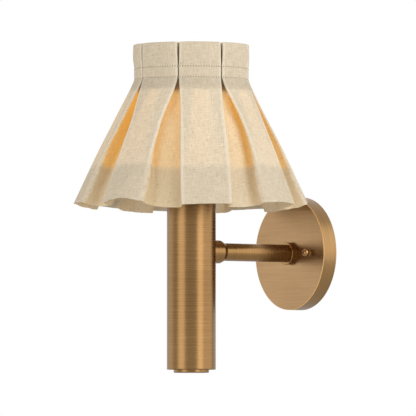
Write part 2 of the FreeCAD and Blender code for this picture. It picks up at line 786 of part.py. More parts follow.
def ring_of_wire(name, radius, z, thick):
    piece = doc.addObject("Part::Torus", name)
    piece.Radius1 = radius
    piece.Radius2 = thick
    piece.Placement.Base = V(0, -size("column_reach"), z)
    return piece


def rib_places():
    """Ends of each rib, just clear of both rings."""
    upper = V(size("upper_ring_radius"), 0, upper_ring_z())
    lower = V(lower_ring_radius(), 0, size("lower_ring_z"))
    inset = (lower - upper).normalize() * size("wire_radius")
    upper, lower = upper + inset, lower - inset
    for rib in range(int(size("rib_count"))):
        degrees = size("pleat_turn") + size("rib_turn") + rib * 360 / size("rib_count")
        yield around(upper.x, degrees, upper.z), around(lower.x, degrees, lower.z)


def fitter_ring():
    """Flat ring that stands on the holder's shoulder, round its sleeve."""
    bottom = f"({HOLDER_SHOULDER} + sizes.seat_gap)"
    inside = "(sizes.skirt_radius + sizes.pass_gap)"
    outside = f"({inside} + sizes.fitter_width)"
    outline = [(inside, bottom), (outside, bottom), (outside, FITTER_TOP),
               (inside, FITTER_TOP)]
    node("fitter_ring", turned("fitter", outline, **COLUMN_AXIS))


def fitter_spokes():
    """Wires welded under the fitter ring that reach out to the lower ring."""
    shoulder = size("column_top") + size("cap_sheet") + size("holder_height")
    start_z = shoulder + size("seat_gap") - size("wire_radius")
    spokes = []
    for index in range(int(size("spoke_count"))):
        degrees = size("pleat_turn") + index * 360 / size("spoke_count")
        end = lower_ring_radius() - size("wire_radius")
        spokes.append(wire(f"spoke_{index + 1}", around(size("spoke_start"), degrees, start_z),
                           around(end, degrees, size("lower_ring_z")), size("wire_radius")))
    node("fitter_spokes", group("spokes", spokes))


def frame_wires():
    node("lower_ring", ring_of_wire("ring_below", lower_ring_radius(), size("lower_ring_z"),
                                    size("wire_radius")))
    node("upper_ring", ring_of_wire("ring_above", size("upper_ring_radius"), upper_ring_z(),
                                    size("wire_radius")))
    ribs = [wire(f"rib_{index + 1}", upper, lower, size("wire_radius"))
            for index, (upper, lower) in enumerate(rib_places())]
    node("frame_ribs", group("ribs", ribs))


def clamp_ring():
    """Threaded ring that clamps the fitter ring on the shoulder, scalloped for the fingers."""
    bottom = f"({FITTER_TOP} + sizes.seat_gap)"
    top = f"({bottom} + sizes.ring_height)"
    inside = "(sizes.skirt_radius + sizes.slide_gap)"
    outline = [(inside, bottom), ("sizes.ring_radius", bottom),
               ("sizes.ring_radius", f"{top} - sizes.ring_bevel"),
               ("sizes.ring_radius - sizes.ring_bevel", top), (inside, top)]
    blank = turned("clamp_blank", outline, **COLUMN_AXIS)
    grips = []
    for index in range(int(size("grip_count"))):
        turn = f"{index} * 360 / sizes.grip_count"
        far = "(sizes.ring_radius + sizes.grip_radius - sizes.grip_depth)"
        grips.append(cylinder(f"grip_{index + 1}", "sizes.grip_radius",
                              "2 * sizes.ring_height", x=f"{far} * cos({turn})",
                              y=f"{far} * sin({turn}) - sizes.column_reach",
                              z=f"{bottom} - sizes.ring_height / 2"))
    node("clamp_ring", cut("clamp", blank, grips))


# ---------------------------------------------------------------- canvas shade

def pleated_section(z, wall):
    """Closed outline of the pleats at a height, drawn in by a wall's thickness."""
    fold, panel, recess, panel_width, recess_width = pleat_station(z)
    panel_half = math.degrees(math.asin((panel_width / 2 - wall) / (fold - wall)))
    recess_half = math.degrees(math.asin((recess_width / 2 + wall) / (recess - wall)))
    pitch = 360 / size("pleat_count")
    edges = []
    for pleat in range(int(size("pleat_count"))):
        centre = size("pleat_turn") + pleat * pitch
        gap = centre + pitch / 2
        left = around(fold - wall, centre - panel_half, z)
        right = around(fold - wall, centre + panel_half, z)
        near = around(recess - wall, gap - recess_half, z)
        far = around(recess - wall, gap + recess_half, z)
        following = around(fold - wall, centre + pitch - panel_half, z)
        edges += [Part.Arc(left, around(panel - wall, centre, z), right).toShape(),
                  Part.LineSegment(right, near).toShape(),
                  Part.Arc(near, around(recess - wall, gap, z), far).toShape(),
                  Part.LineSegment(far, following).toShape()]
    return Part.Wire(edges)


def canvas_shade():
    """Box-pleated canvas: an upright header over the ring's casing, and a flaring skirt."""
    heights = ("hem_z", "lower_stitch", "upper_stitch", "shade_top")
    outside = Part.makeLoft([pleated_section(size(name), 0) for name in heights], True, True)
    wall = size("canvas_wall")
    inside = Part.makeLoft([pleated_section(size(name), wall)
                            for name in ("hem_z", "facing_end")], True, True)
    bore = Part.makeCylinder(size("header_bore"), size("shade_top") - size("facing_end"),
                             around(0, 0, size("facing_end")))
    loose = size("wire_radius") + size("cloth_gap")
    casing = Part.makeTorus(size("upper_ring_radius"), loose, around(0, 0, upper_ring_z()))
    passages = []
    for upper, lower in rib_places():
        run = lower - upper
        passages.append(Part.makeCylinder(loose, run.Length / 2, upper, run))
    cloth = outside.cut([inside, bore, casing] + passages)
    piece = doc.addObject("Part::Feature", "canvas")
    piece.Shape = cloth
    node("canvas_shade", piece)


fitter_ring()
fitter_spokes()
frame_wires()
clamp_ring()
canvas_shade()

# ---------------------------------------------------------------- checks and files

doc.recompute()
for item in doc.Objects:
    if "Invalid" in item.State or "Error" in item.State:
        raise RuntimeError(f"{item.Label} did not build: {item.State}")
for piece in NODES:
    if piece.Shape.isNull() or not piece.Shape.isValid():
        raise RuntimeError(f"{piece.Label} has no valid shape")
os.makedirs("parts", exist_ok=True)
for piece in NODES:
    piece.Shape.exportStep(f"parts/{piece.Label}.step")
    print(f"{piece.Label}: {len(piece.Shape.Solids)} solids, {piece.Shape.Volume:.1f} mm3")
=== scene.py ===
import math

import bmesh
import bpy
import numpy as np
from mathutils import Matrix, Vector


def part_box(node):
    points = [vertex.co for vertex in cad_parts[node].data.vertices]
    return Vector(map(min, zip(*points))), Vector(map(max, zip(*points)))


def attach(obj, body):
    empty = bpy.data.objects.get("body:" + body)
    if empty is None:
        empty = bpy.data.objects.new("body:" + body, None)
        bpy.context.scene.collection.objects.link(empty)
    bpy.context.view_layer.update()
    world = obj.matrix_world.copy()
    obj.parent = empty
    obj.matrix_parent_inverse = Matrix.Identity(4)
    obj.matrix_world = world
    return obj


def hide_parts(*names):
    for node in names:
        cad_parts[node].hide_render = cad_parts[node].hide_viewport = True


# Fabric shade wall light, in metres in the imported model's frame: the wall is y = 0, the arm runs
# out along -Y, the column stands at COLUMN_Y, and the canvas shade hangs round the column's top.

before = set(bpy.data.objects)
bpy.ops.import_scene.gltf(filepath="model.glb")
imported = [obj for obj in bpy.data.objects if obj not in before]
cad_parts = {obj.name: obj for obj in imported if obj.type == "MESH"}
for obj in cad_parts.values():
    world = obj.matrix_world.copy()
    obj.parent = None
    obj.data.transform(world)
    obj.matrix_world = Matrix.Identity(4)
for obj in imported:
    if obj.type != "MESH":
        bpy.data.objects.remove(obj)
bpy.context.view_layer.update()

MM = 0.001


def middle(node):
    """Centre of a node's box."""
    low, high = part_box(node)
    return (low + high) / 2


COLUMN_Y = middle("column_tube").y
LAMP = middle("lamp_diffuser")

# ---------------------------------------------------------------- making tools

FLOAT, COLOUR, VECTOR = "NodeSocketFloat", "NodeSocketColor", "NodeSocketVector"


def piece(name, bm):
    """Finished bmesh as a smooth object at the origin."""
    mesh = bpy.data.meshes.new(name)
    bm.to_mesh(mesh)
    bm.free()
    mesh.shade_smooth()
    item = bpy.data.objects.new(name, mesh)
    bpy.context.scene.collection.objects.link(item)
    return item


def new_material(name):
    """Material with its nodes, its links and its shader."""
    material = bpy.data.materials.new(name)
    material.use_nodes = True
    nodes, links = material.node_tree.nodes, material.node_tree.links
    return material, nodes, links, nodes["Principled BSDF"]


def group(name, inputs, outputs):
    """Empty shader group with the sockets named; returns the tree and its two ends."""
    tree = bpy.data.node_groups.new(name, "ShaderNodeTree")
    for socket, kind in inputs:
        tree.interface.new_socket(socket, in_out="INPUT", socket_type=kind)
    for socket, kind in outputs:
        tree.interface.new_socket(socket, in_out="OUTPUT", socket_type=kind)
    return tree, tree.nodes.new("NodeGroupInput"), tree.nodes.new("NodeGroupOutput")


def placed(nodes, tree):
    """A shader group, placed in a material."""
    node = nodes.new("ShaderNodeGroup")
    node.node_tree = tree
    return node


def object_place(nodes):
    """Place on the object, in metres."""
    return nodes.new("ShaderNodeTexCoord").outputs["Object"]


def math_node(nodes, links, operation, first, second=None, clamp=False):
    """One sum; each value is a number or another node's output."""
    node = nodes.new("ShaderNodeMath")
    node.operation = operation
    node.use_clamp = clamp
    for socket, value in zip(node.inputs, (first, second)):
        if isinstance(value, (int, float)):
            socket.default_value = value
        elif value is not None:
            links.new(value, socket)
    return node.outputs[0]


def scaled(nodes, links, value, factor, offset, clamp=False):
    """A value multiplied by a factor, with an offset added."""
    value = math_node(nodes, links, "MULTIPLY", value, factor)
    return math_node(nodes, links, "ADD", value, offset, clamp)


def mix_colour(nodes, links, share, first, second, blend="MIX"):
    """Two colours mixed; each is a plain colour or another node's output."""
    node = nodes.new("ShaderNodeMix")
    node.data_type = "RGBA"
    node.blend_type = blend
    for socket, value in ((node.inputs[0], share), (node.inputs[6], first),
                          (node.inputs[7], second)):
        if isinstance(value, (int, float)):
            socket.default_value = value
        elif isinstance(value, tuple):
            socket.default_value = (*value, 1)
        else:
            links.new(value, socket)
    return node.outputs[2]


def dimmed(nodes, links, colour, share):
    """A colour multiplied by a value."""
    grey = nodes.new("ShaderNodeCombineColor")
    for socket in grey.inputs[:3]:
        links.new(share, socket)
    return mix_colour(nodes, links, 1.0, colour, grey.outputs[0], "MULTIPLY")


def mix_shader(nodes, links, share, first, second, surface):
    """Two shaders mixed into a surface."""
    node = nodes.new("ShaderNodeMixShader")
    for socket, value in zip(node.inputs, (share, first, second)):
        links.new(value, socket)
    links.new(node.outputs[0], surface)


def noise(nodes, links, vector, scale, detail=2.0, roughness=0.5):
    """Soft noise, from 0 to 1."""
    node = nodes.new("ShaderNodeTexNoise")
    node.inputs["Scale"].default_value = scale
    node.inputs["Detail"].default_value = detail
    node.inputs["Roughness"].default_value = roughness
    links.new(vector, node.inputs["Vector"])
    return node.outputs["Fac"]


def stretched(nodes, links, vector, scale):
    """Coordinates multiplied by a scale along each axis."""
    node = nodes.new("ShaderNodeMapping")
    node.inputs["Scale"].default_value = scale
    links.new(vector, node.inputs["Vector"])
    return node.outputs[0]


def relief(nodes, links, shader, height, strength, distance):
    """Fine relief on a shader's surface."""
    bump = nodes.new("ShaderNodeBump")
    bump.inputs["Strength"].default_value = strength
    bump.inputs["Distance"].default_value = distance
    links.new(height, bump.inputs["Height"])
    links.new(bump.outputs[0], shader.inputs["Normal"])


def dress(material, *names):
    """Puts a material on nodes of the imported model."""
    for name in names:
        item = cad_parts[name]
        item.data.materials.clear()
        item.data.materials.append(material)


# ---------------------------------------------------------------- camera, lights, surroundings

VIEW_TURN, VIEW_RISE = 53.402, -2.267     # degrees
VIEW_DISTANCE = 6.0
VIEW_TARGET = Vector((0.00825, -0.12889, 0.04493))
LENS_MM = 501.14
SENSOR_MM = 36.0

SOFT_BOX_TARGET = Vector((0, COLUMN_Y, 0.05))
SOFT_BOXES = (                            # name, turn, rise, distance, width, height, watts
    ("key", 97, 20, 2.2, 1.2, 2.4, 25),
    ("fill", 6, 18, 2.4, 1.5, 2.4, 23),
    ("side", 140, 12, 2.3, 2.2, 2.4, 17),
    ("left", -58, 8, 2.4, 1.6, 2.4, 7.5))
LAMP_WATTS = 0.9
LAMP_COLOUR = (1.0, 0.70, 0.38)
LAMP_RADIUS = 0.028
WORLD_LEVEL = 0.52                        # plain light from all round; the backdrop is at 1

FLOOR_Z, FLOOR_Y, FLOOR_REACH = -0.45, -1.0, 4.0
FLOOR_COLOUR = (0.86, 0.86, 0.85)


def aimed(name, data, target, turn, rise, distance):
    """Camera or lamp that faces a target; the turn is from straight in front, towards +X."""
    turn, rise = math.radians(turn), math.radians(rise)
    back = Vector((math.sin(turn) * math.cos(rise), -math.cos(turn) * math.cos(rise),
                   math.sin(rise)))
    item = bpy.data.objects.new(name, data)
    bpy.context.scene.collection.objects.link(item)
    item.location = target + back * distance
    item.rotation_euler = back.to_track_quat("Z", "Y").to_euler()
    return item


def camera():
    """Camera at the photograph's angle."""
    bpy.context.scene.view_settings.view_transform = "Standard"
    data = bpy.data.cameras.new("camera")
    data.lens = LENS_MM
    data.sensor_width = SENSOR_MM
    bpy.context.scene.camera = aimed("camera", data, VIEW_TARGET, VIEW_TURN, VIEW_RISE,
                                     VIEW_DISTANCE)


def soft_boxes():
    """Tall soft boxes that stand round the light."""
    for name, turn, rise, distance, width, height, watts in SOFT_BOXES:
        data = bpy.data.lights.new(name, "AREA")
        data.shape = "RECTANGLE"
        data.size = width
        data.size_y = height
        data.energy = watts
        aimed(name, data, SOFT_BOX_TARGET, turn, rise, distance)


def lamp_light():
    """Warm light from the lamp in the shade."""
    data = bpy.data.lights.new("lamp_light", "POINT")
    data.energy = LAMP_WATTS
    data.color = LAMP_COLOUR
    data.shadow_soft_size = LAMP_RADIUS
    item = bpy.data.objects.new("lamp_light", data)
    item.location = (LAMP.x, LAMP.y, LAMP.z)
    bpy.context.scene.collection.objects.link(item)


def even_light(nodes, strength):
    """White light of one strength from all round."""
    node = nodes.new("ShaderNodeBackground")
    node.inputs["Color"].default_value = (1, 1, 1, 1)
    node.inputs["Strength"].default_value = strength
    return node.outputs[0]


def surroundings():
    """Soft even light, with a white backdrop for the camera and for what metal and glass show."""
    world = bpy.data.worlds.new("studio")
    bpy.context.scene.world = world
    world.use_nodes = True
    nodes, links = world.node_tree.nodes, world.node_tree.links
    nodes.clear()
    out = nodes.new("ShaderNodeOutputWorld")
    path = nodes.new("ShaderNodeLightPath").outputs
    shown = math_node(nodes, links, "MAXIMUM", path["Is Camera Ray"], path["Is Glossy Ray"])
    shown = math_node(nodes, links, "MAXIMUM", shown, path["Is Transmission Ray"])
    mix_shader(nodes, links, shown, even_light(nodes, WORLD_LEVEL), even_light(nodes, 1.0),
               out.inputs["Surface"])


def floor():
    """Pale floor that keeps the light's shadow; a camera below it sees through it."""
    bm = bmesh.new()
    bmesh.ops.create_grid(bm, x_segments=1, y_segments=1, size=FLOOR_REACH)
    bmesh.ops.translate(bm, verts=bm.verts, vec=(0, FLOOR_Y, FLOOR_Z))
    item = piece("floor", bm)
    material, nodes, links, shader = new_material("pale_floor")
    item.data.materials.append(material)
    shader.inputs["Base Color"].default_value = (*FLOOR_COLOUR, 1)
    shader.inputs["Roughness"].default_value = 0.9
    under = math_node(nodes, links, "MULTIPLY",
                      nodes.new("ShaderNodeNewGeometry").outputs["Backfacing"],
                      nodes.new("ShaderNodeLightPath").outputs["Is Camera Ray"])
    clear = nodes.new("ShaderNodeBsdfTransparent")
    mix_shader(nodes, links, under, shader.outputs[0], clear.outputs[0],
               nodes["Material Output"].inputs["Surface"])


# ---------------------------------------------------------------- brass

BRASS_DEEP = (0.24, 0.135, 0.048)         # under old patina, in the hollows of the brushing
BRASS_LIGHT = (0.56, 0.350, 0.160)        # rubbed bright
BRASS_BEVEL_HIGHLIGHT = (0.84, 0.50, 0.20)           # painted highlight on the plate's bevel
# The plate's tint is painted light: it makes the plate a lighter, bluer copy of the same brass.
PLATE_PAINTED_LIGHT_TINT = (0.74, 0.74, 0.80)
PLATE_SMOOTHEST = 0.20                    # its least roughness
RIM_PAINTED_SHADE_TINT = (0.88, 0.85, 0.76)             # painted shade on the rim, on top of the plate's tint
FACE_SLOPE, EDGE_SLOPE = 0.8, 0.3         # share of the normal that points out from the wall
GRAIN_SCALES = (("Lines", 26.0, 2600.0), ("Bands", 9.0, 620.0))   # along and across the lines
PATINA_SCALE = 14.0
BRUSH_RELIEF = (0.25, 0.03 * MM)          # strength and depth
Y, Z = 1, 2                               # axes
# The tints are painted light: one brass made darker or lighter on each piece, as lit and shaded
# copies.
BRASSES = (                               # name, axis across the lines, tint, smoothest, nodes
    ("brass_column", Z, (0.52, 0.48, 0.44), 0.16, ("column_tube", "top_cap", "bottom_cap")),
    ("brass_arm", Y, (0.62, 0.57, 0.50), 0.15, ("arm_tube", "wall_collar", "column_collar")),
    ("brass_finials", Y, (0.72, 0.68, 0.62), 0.05, ("finial_left", "finial_right")))


def brushed_grain():
    """Fine brushing: lines that run across the axis whose scale is high, in soft bands."""
    tree, inside, outside = group("brushed_grain", [("Lines", VECTOR), ("Bands", VECTOR)],
                                  [("Height", FLOAT), ("Streak", FLOAT)])
    nodes, links = tree.nodes, tree.links
    fine = noise(nodes, links, inside.outputs["Lines"], 1.0, 3.0, 0.7)
    band = noise(nodes, links, inside.outputs["Bands"], 1.0, 3.0, 0.6)
    band = math_node(nodes, links, "MULTIPLY", band, 0.38)
    links.new(fine, outside.inputs["Height"])
    links.new(scaled(nodes, links, fine, 0.62, band), outside.inputs["Streak"])
    return tree


def aged_brass():
    """Brass between deep and light, by its patina and its brushing, and how rough it is."""
    tree, inside, outside = group("aged_brass",
                                  [("Place", VECTOR), ("Streak", FLOAT), ("Deep", COLOUR),
                                   ("Light", COLOUR), ("Smoothest", FLOAT)],
                                  [("Colour", COLOUR), ("Roughness", FLOAT)])
    nodes, links = tree.nodes, tree.links
    streak = inside.outputs["Streak"]
    patina = noise(nodes, links, inside.outputs["Place"], PATINA_SCALE, 3.0)
    tone = scaled(nodes, links, patina, 0.5, math_node(nodes, links, "MULTIPLY", streak, 1.3))
    tone = math_node(nodes, links, "SUBTRACT", tone, 0.36, clamp=True)
    links.new(mix_colour(nodes, links, tone, inside.outputs["Deep"], inside.outputs["Light"]),
              outside.inputs["Colour"])
    links.new(scaled(nodes, links, streak, 0.22, inside.outputs["Smoothest"]),
              outside.inputs["Roughness"])
    return tree


GRAIN = brushed_grain()
AGED_BRASS = aged_brass()


def grain(nodes, links, where, across):
    """Height and streak of brushing whose lines cross one axis."""
    node = placed(nodes, GRAIN)
    for socket, along_lines, across_lines in GRAIN_SCALES:
        scale = [along_lines] * 3
        scale[across] = across_lines
        links.new(stretched(nodes, links, where, scale), node.inputs[socket])
    return node.outputs["Height"], node.outputs["Streak"]


def aged(nodes, links, where, streak, tint, smoothest):
    """Colour and roughness of aged brass in one tint."""
    node = placed(nodes, AGED_BRASS)
    links.new(where, node.inputs["Place"])
    links.new(streak, node.inputs["Streak"])
    for socket, colour in (("Deep", BRASS_DEEP), ("Light", BRASS_LIGHT)):
        node.inputs[socket].default_value = (*(a * b for a, b in zip(colour, tint)), 1)
    node.inputs["Smoothest"].default_value = smoothest
    return node.outputs["Colour"], node.outputs["Roughness"]


def brass_surface(nodes, links, shader, colour, rough, height):
    """Bare metal with the brushing's colour, roughness and relief."""
    links.new(colour, shader.inputs["Base Color"])
    links.new(rough, shader.inputs["Roughness"])
    shader.inputs["Metallic"].default_value = 1.0
    relief(nodes, links, shader, height, *BRUSH_RELIEF)


def brass(name, across, tint, smoothest):
    """Antique brushed brass whose brush lines cross one axis."""
    material, nodes, links, shader = new_material(name)
    where = object_place(nodes)
    height, streak = grain(nodes, links, where, across)
    colour, rough = aged(nodes, links, where, streak, tint, smoothest)
    brass_surface(nodes, links, shader, colour, rough, height)
    return material


def plate_brass():
    """The plate's brass: its face is brushed level and its rim round the edge. The rim is tinted
    darker as painted shade, and the bevel between them is painted bright gold as a highlight."""
    material, nodes, links, shader = new_material("brass_plate")
    where = object_place(nodes)
    normal = nodes.new("ShaderNodeSeparateXYZ")
    links.new(nodes.new("ShaderNodeNewGeometry").outputs["Normal"], normal.inputs[0])
    slope = math_node(nodes, links, "ABSOLUTE", normal.outputs["Y"])
    face = math_node(nodes, links, "GREATER_THAN", slope, FACE_SLOPE)
    edge = math_node(nodes, links, "GREATER_THAN", slope, EDGE_SLOPE)
    edge = math_node(nodes, links, "SUBTRACT", edge, face)
    picked = []
    for on_rim, on_face in zip(grain(nodes, links, where, Y), grain(nodes, links, where, Z)):
        pick = nodes.new("ShaderNodeMix")
        links.new(face, pick.inputs["Factor"])
        links.new(on_rim, pick.inputs["A"])
        links.new(on_face, pick.inputs["B"])
        picked.append(pick.outputs["Result"])
    height, streak = picked
    colour, rough = aged(nodes, links, where, streak, PLATE_PAINTED_LIGHT_TINT, PLATE_SMOOTHEST)
    # Painted shade: the rim is tinted darker and warmer than the face.
    rim = math_node(nodes, links, "SUBTRACT", 1.0, face)
    colour = mix_colour(nodes, links, rim, colour, RIM_PAINTED_SHADE_TINT, "MULTIPLY")
    # Painted highlight: the bevel between face and rim is coloured bright gold.
    colour = mix_colour(nodes, links, edge, colour, BRASS_BEVEL_HIGHLIGHT)
    brass_surface(nodes, links, shader, colour, rough, height)
    return material


def dress_brass():
    """Brass of the column, arm, finials and plate."""
    for name, across, tint, smoothest, pieces in BRASSES:
        dress(brass(name, across, tint, smoothest), *pieces)
    dress(plate_brass(), "wall_plate")


# ---------------------------------------------------------------- hidden hardware

FINISHES = (                              # name, colour, roughness, metallic, nodes
    ("zinc_steel", (0.55, 0.55, 0.53), 0.35, 1.0,
     ("mounting_disc", "plate_studs", "stud_nuts", "arm_rod", "plate_washer", "plate_nut",
      "saddle_washer", "column_nut", "holder_nipple", "holder_nut")),
    ("green_screw", (0.06, 0.28, 0.10), 0.35, 0.6, ("earth_screw",)),
    ("black_moulding", (0.028, 0.027, 0.026), 0.45, 0.0,
     ("holder_base", "holder_skirt", "clamp_ring", "lamp_insulator")),
    ("porcelain", (0.82, 0.81, 0.77), 0.18, 0.0, ("holder_insert",)),
    ("nickel_sheet", (0.62, 0.59, 0.52), 0.28, 1.0,
     ("screw_shell", "centre_contact", "terminal_screws", "lamp_contact", "lamp_base")),
    ("white_moulding", (0.84, 0.83, 0.80), 0.40, 0.0, ("lamp_housing", "lamp_board")),
    ("black_lead", (0.03, 0.03, 0.03), 0.5, 0.0, ("live_lead",)),
    ("white_lead", (0.82, 0.81, 0.78), 0.5, 0.0, ("neutral_lead",)),
    ("white_wire", (0.80, 0.78, 0.73), 0.35, 0.0,
     ("fitter_ring", "fitter_spokes", "lower_ring", "upper_ring", "frame_ribs")))
MOTTLE = 0.06                             # share by which a finish lightens; it darkens by twice
UNEVEN_GLOSS = 0.16                       # spread of its roughness
FINISH_RELIEF = (0.2, 0.04 * MM)          # strength and depth
GLOBE_SHINE = 2.2


def uneven_finish():
    """Unevenness of plating, moulding and paint: broad clouds and a fine tooth."""
    tree, inside, outside = group("uneven_finish", [("Place", VECTOR)],
                                  [("Broad", FLOAT), ("Fine", FLOAT)])
    nodes, links = tree.nodes, tree.links
    links.new(noise(nodes, links, inside.outputs["Place"], 60.0, 3.0), outside.inputs["Broad"])
    links.new(noise(nodes, links, inside.outputs["Place"], 900.0), outside.inputs["Fine"])
    return tree


UNEVEN_FINISH = uneven_finish()


def plain_finish(name, colour, roughness, metallic):
    """Plated, moulded or painted finish, a little uneven in colour, gloss and surface."""
    material, nodes, links, shader = new_material(name)
    uneven = placed(nodes, UNEVEN_FINISH)
    links.new(object_place(nodes), uneven.inputs["Place"])
    broad, fine = uneven.outputs["Broad"], uneven.outputs["Fine"]
    dark = tuple(c * (1 - MOTTLE * 2) for c in colour)
    pale = tuple(min(1.0, c * (1 + MOTTLE)) for c in colour)
    links.new(mix_colour(nodes, links, broad, dark, pale), shader.inputs["Base Color"])
    smoothest = max(0.02, roughness - UNEVEN_GLOSS / 2)
    links.new(scaled(nodes, links, fine, UNEVEN_GLOSS, smoothest), shader.inputs["Roughness"])
    shader.inputs["Metallic"].default_value = metallic
    relief(nodes, links, shader, fine, *FINISH_RELIEF)
    return material


def lit_globe():
    """Opal diffuser that shines a warm white."""
    material, nodes, links, shader = new_material("opal_globe")
    cloud = noise(nodes, links, object_place(nodes), 40.0)
    links.new(mix_colour(nodes, links, cloud, (0.90, 0.84, 0.74), (0.96, 0.92, 0.84)),
              shader.inputs["Base Color"])
    links.new(mix_colour(nodes, links, cloud, (1.0, 0.74, 0.44), (1.0, 0.80, 0.52)),
              shader.inputs["Emission Color"])
    shader.inputs["Emission Strength"].default_value = GLOBE_SHINE
    shader.inputs["Roughness"].default_value = 0.35
    return material


def dress_hardware():
    """Finishes of the pieces inside the light, and its lit lamp."""
    for name, colour, roughness, metallic, pieces in FINISHES:
        dress(plain_finish(name, colour, roughness, metallic), *pieces)
    dress(lit_globe(), "lamp_diffuser")


# ---------------------------------------------------------------- canvas shade: its sizes

# The shade is one strip of canvas. Its top is turned inside as a facing, its bottom is turned up
# inside as a hem, and it is laid in box pleats that are pressed flat under two rows of stitches
# and fall open towards the hem. Sizes are millimetres. A level is how far down the strip a place
# is from the lower row of stitches, so it is negative above that row.

PLEATS = 8
PLEAT_STEP = 2 * math.pi / PLEATS
FIRST_PLEAT = math.radians(-27.1)         # from +X to the middle of the pleat at the camera
CLOTH = 0.62                              # canvas thickness
STITCH_UP = 11.6                          # from the lower row of stitches to the upper one
STITCH_ROWS = (0.0, -STITCH_UP)           # levels of the rows
RUFFLE = 36.0                             # canvas above the lower row of stitches
FACING = 48.2                             # turned inside at the top
BODY = 143.6                              # lower row of stitches to hem
HEM = 42.0                                # turned up inside at the bottom
FACING_END = FACING - RUFFLE              # level of the facing's lower edge
HEM_TOP = BODY - HEM                      # level of the hem's upper edge
WAIST_Z = 177.5                           # height of the lower row of stitches
HALF_PLEAT = 55.0                         # canvas in half a pleat
HALF_PANEL, PANEL_SPREAD = 21.6, 3.4      # half a panel's width at the stitches, more at the hem
HALF_RECESS = 15.6                        # the most of half a recess's width
OUTER_BEND = 0.85                         # fold radius at a panel's edge
INNER_BEND = 0.32                         # fold radius behind a panel
WAIST_RADIUS = 59.05                      # outer radius of the panels at the stitches
FLARE, FLARE_EASE = 0.432, 0.00016        # radius gained down the strip, and how that eases off

RIPPLE_COUNTS, RIPPLE_WEIGHTS = (5, 9, 13), (0.55, 0.35, 0.2)  # waves round the hanging canvas
FRILL_COUNTS, FRILL_WEIGHTS = (11, 23), (1, 0.7)               # and round its top edge

# Parts of half a pleat, from the panel's middle to the recess's middle, and steps in each.
ON_PANEL, OUTER_FOLD, FOLD_SIDE, INNER_FOLD, IN_RECESS = range(5)
PART_STEPS = (8, 5, 4, 5, 5)

# One entry for each pleat, from the one at the camera round towards the camera's right.
PLEAT_SWING = (-7.0, -1.0, 0.0, -1.5, -2.0, 1.0, 3.4, -1.0)    # how far its hem swings out
PLEAT_TURN = (-1.2, -1.0, 0.6, 1.5, 0.0, -1.0, 0.8, -2.6)      # degrees that it turns
PLEAT_FALL = (1.0, -0.2, 0.3, 0.0, 0.8, -0.4, 0.2, -0.9)       # how much wider its panel falls
PLEAT_BULGE = (0.4, 1.0, 3.0, 2.0, 1.0, 2.5, 2.0, 2.8)         # how far its hem's middle bulges
PLEAT_LIFT = (1.6, 2.0, 3.0, 1.5, 0.5, 2.0, 1.0, 4.2)          # and lifts

# One entry for each pleat's left edge and one for its right edge.
SOFTEN = ((0.3, 4.0, 3.4, 3.0, 1.0, 3.5, 2.0, 1.5),            # rounding of the fold at the hem
          (0.3, 3.2, 3.5, 1.0, 3.5, 2.0, 3.6, 3.2))
PINCH = ((0.5, 4.2, 1.0, 2.0, 0.0, 1.5, 2.5, 3.0),             # narrowing half way down
         (0.5, 1.5, 2.5, 0.0, 2.0, 1.0, 2.0, 3.0))
TUCK = ((1.0, 5.5, 1.0, 2.0, 0.0, 1.0, 2.0, 1.0),              # recess's reach behind the panel
        (1.0, 1.0, 2.0, 0.0, 1.0, 2.0, 2.0, 5.5))
GLOW = ((0.95, 0.9, 0.9, 1.0, 1.0, 1.0, 0.9, 1.1),             # lamp light through the canvas
        (0.75, 0.9, 1.0, 1.0, 1.0, 0.9, 1.0, 0.9))
FOLD_GLOW_AND_SHADE_REACH = ((0.85, 0.25, 0.6, 0.6, 0.6, 0.6, 0.6, 0.35),           # how far a fold's deep glow and painted shade reach across the recess
        (0.25, 0.6, 0.6, 0.6, 0.6, 0.6, 0.35, 0.85))

# ---------------------------------------------------------------- canvas shade: its shape


def pleat_value(values, pleat):
    """What each column's pleat is given."""
    return np.array(values)[pleat.astype(int) % PLEATS]


def edge_value(values, table):
    """What each column is given on its side of its panel."""
    pleat, side = table[:2]
    left, right = values
    return np.where(side < 0, pleat_value(left, pleat), pleat_value(right, pleat))


def smooth_step(value, low, high):
    """Eases from 0 at low to 1 at high."""
    share = np.clip((value - low) / (high - low), 0, 1)
    return share * share * (3 - 2 * share)


def wave(angle, counts, phases, weights):
    """Sum of waves round the shade."""
    return sum(weight * np.sin(count * angle + phase)
               for count, phase, weight in zip(counts, phases, weights))


def column_table():
    """Every column of the strip: pleat number, side of its panel, part of the fold and share."""
    half = [(part, step / steps) for part, steps in enumerate(PART_STEPS) for step in range(steps)]
    half.append((IN_RECESS, 1.0))
    pleat = [(-1, *entry) for entry in reversed(half)] + [(1, *entry) for entry in half[1:]]
    rows = [(0, *pleat[0])]
    for number in range(PLEATS):
        rows += [(number, *entry) for entry in pleat[1:]]
    return np.array(rows).T


def mean_radius(level):
    """Outer radius of the panels at a level."""
    fall = max(level, 0.0)
    flare = WAIST_RADIUS + FLARE * fall - FLARE_EASE * fall ** 2 - 0.6 * smooth_step(fall, 0, 6)
    return flare + 0.8 * smooth_step(-level, 10, 24) - 0.25 * smooth_step(-level, 26, 33)


def fold_angle(gap, straight, bend_out, bend_in):
    """Angle that a pleat's side turns back by, so that the half pleat spans the gap left to it."""
    low, high = np.zeros_like(gap), np.full_like(gap, math.pi)
    for _ in range(40):
        angle = (low + high) / 2
        side = straight - (bend_out + bend_in) * angle
        wide = (bend_out + bend_in) * np.sin(angle) + side * np.cos(angle) > gap
        low, high = np.where(wide, angle, low), np.where(wide, high, angle)
    return (low + high) / 2


def recess_floor(own, table):
    """Depth of a recess from its two inner bends to its middle, where both halves meet."""
    pleat, side, _, share = table
    left = np.array([own[(pleat == number) & (side < 0)].mean() for number in range(PLEATS)])
    right = np.array([own[(pleat == number) & (side > 0)].mean() for number in range(PLEATS)])
    number = pleat.astype(int)
    beyond = np.where(side > 0, left[(number + 1) % PLEATS], right[(number - 1) % PLEATS])
    return own + share * (beyond - own) / 2


